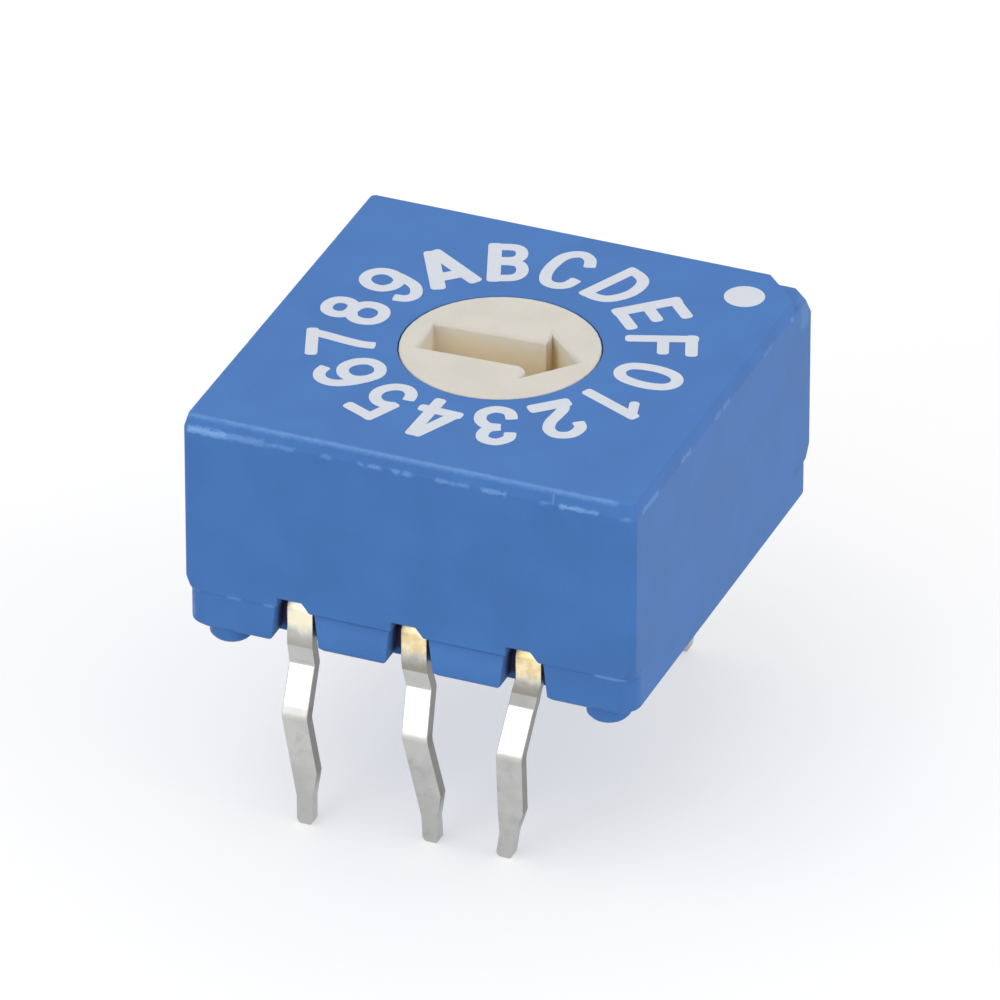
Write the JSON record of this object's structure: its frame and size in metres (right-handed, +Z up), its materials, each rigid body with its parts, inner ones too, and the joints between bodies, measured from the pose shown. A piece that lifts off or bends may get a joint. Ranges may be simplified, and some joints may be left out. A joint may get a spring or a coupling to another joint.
{
  "type": "coded rotary switch",
  "caption": "Square board-mounted rotary coded switch: a screwdriver-turned rotor with an arrow slot in a low box on sprung, kinked strip terminals.",
  "frame": {"origin": "centre of the bounding box's bottom, in the plane of the terminal tips, under the rotor's axis", "axes": "+X along the front face towards the digit 0 that the arrow points to, +Y to the back row, +Z up along the rotor's axis"},
  "size_m": [0.01, 0.0102, 0.0094],
  "materials": {
    "cover_plastic": "satin",
    "base_plastic": "satin",
    "rotor_plastic": "satin",
    "seal_rubber": "matt",
    "disc_plastic": "matt",
    "gold_plate": "gold-plated",
    "ball_steel": "polished",
    "spring_steel": "drawn",
    "terminal_strip": "tin-plated, gold-plated above"
  },
  "bodies": {
    "housing": {"cover": "cover_plastic", "base": "base_plastic", "seal_ring": "seal_rubber", "terminal_1": "terminal_strip", "terminal_2": "terminal_strip", "terminal_4": "terminal_strip", "terminal_8": "terminal_strip", "terminal_common_front": "terminal_strip", "terminal_common_back": "terminal_strip"},
    "turning": {"rotor": "rotor_plastic", "code_disc": "disc_plastic", "code_plate": "gold_plate", "detent_spring_right": "spring_steel", "detent_spring_left": "spring_steel"},
    "ball_right": {"detent_ball_right": "ball_steel"},
    "ball_left": {"detent_ball_left": "ball_steel"}
  },
  "joints": [
    {"name": "rotor_turn", "type": "hinge", "parent": "housing", "child": "turning", "pos_m": [0, 0, 0.0075], "axis": [0, 0, 1], "continuous": true},
    {"name": "ball_right_press", "type": "slide", "parent": "turning", "child": "ball_right", "axis": [0, 0, -1], "range_m": [0, 0.00006], "stiffness_N_per_m": 400, "springref_m": -0.0004, "deforming": ["detent_spring_right"]},
    {"name": "ball_left_press", "type": "slide", "parent": "turning", "child": "ball_left", "axis": [0, 0, -1], "range_m": [0, 0.00006], "stiffness_N_per_m": 400, "springref_m": -0.0004, "deforming": ["detent_spring_left"]}
  ]
}
